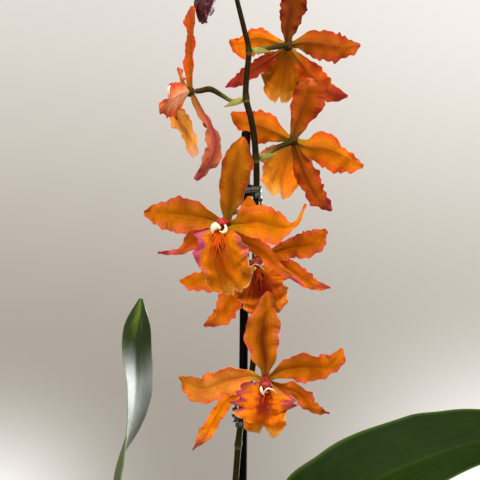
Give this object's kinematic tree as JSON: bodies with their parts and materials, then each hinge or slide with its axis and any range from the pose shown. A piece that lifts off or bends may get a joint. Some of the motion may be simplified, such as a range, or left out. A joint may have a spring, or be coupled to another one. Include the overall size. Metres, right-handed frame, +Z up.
{
  "type": "potted orchid",
  "caption": "Potted cambria orchid: orange blooms and dark buds on an arching spike tied to a stake, strap leaves and pseudobulbs in bark, round plain pot.",
  "frame": {"origin": "centre of the flat bottom of the pot", "axes": "+Z up the pot and the flower spike, -Y towards the front, from which the picture looks, +X to its right"},
  "size_m": [0.3077, 0.2425, 0.596],
  "materials": {
    "pot": "plain satin glaze",
    "bark": "coarse bark chips",
    "pseudobulb": "smooth green plant skin",
    "leaf": "leathery leaf with a low sheen",
    "stake": "black, smooth",
    "stem": "olive-brown plant stem",
    "tie": "dark green, ribbed",
    "bud": "dark maroon, smooth",
    "tepal": "thin fleshy petal, orange with coral edges",
    "lip": "thin fleshy petal, orange with dark veins",
    "column": "fleshy, dark red",
    "cap": "waxy, cream"
  },
  "bodies": {
    "root": {"pot": "pot", "bark_mix": "bark", "pseudobulbs": "pseudobulb", "leaf_left": "leaf", "leaf_right": "leaf", "leaf_back_left": "leaf", "leaf_back_right": "leaf", "leaf_old": "leaf", "leaf_front_left": "leaf", "leaf_front_right": "leaf", "stake": "stake", "spike": "stem", "tie_upper": "tie", "tie_lower": "tie", "bud_opening": "bud", "bud_upper": "bud", "bud_tip": "bud", "bloom_1_tepals": "tepal", "bloom_1_lip": "lip", "bloom_1_column": "column", "bloom_1_cap": "cap", "bloom_2_tepals": "tepal", "bloom_2_lip": "lip", "bloom_2_column": "column", "bloom_2_cap": "cap", "bloom_3_tepals": "tepal", "bloom_3_lip": "lip", "bloom_3_column": "column", "bloom_3_cap": "cap", "bloom_4_tepals": "tepal", "bloom_4_lip": "lip", "bloom_4_column": "column", "bloom_4_cap": "cap", "bloom_5_tepals": "tepal", "bloom_5_lip": "lip", "bloom_5_column": "column", "bloom_5_cap": "cap", "bloom_6_tepals": "tepal", "bloom_6_lip": "lip", "bloom_6_column": "column", "bloom_6_cap": "cap"}
  },
  "joints": []
}
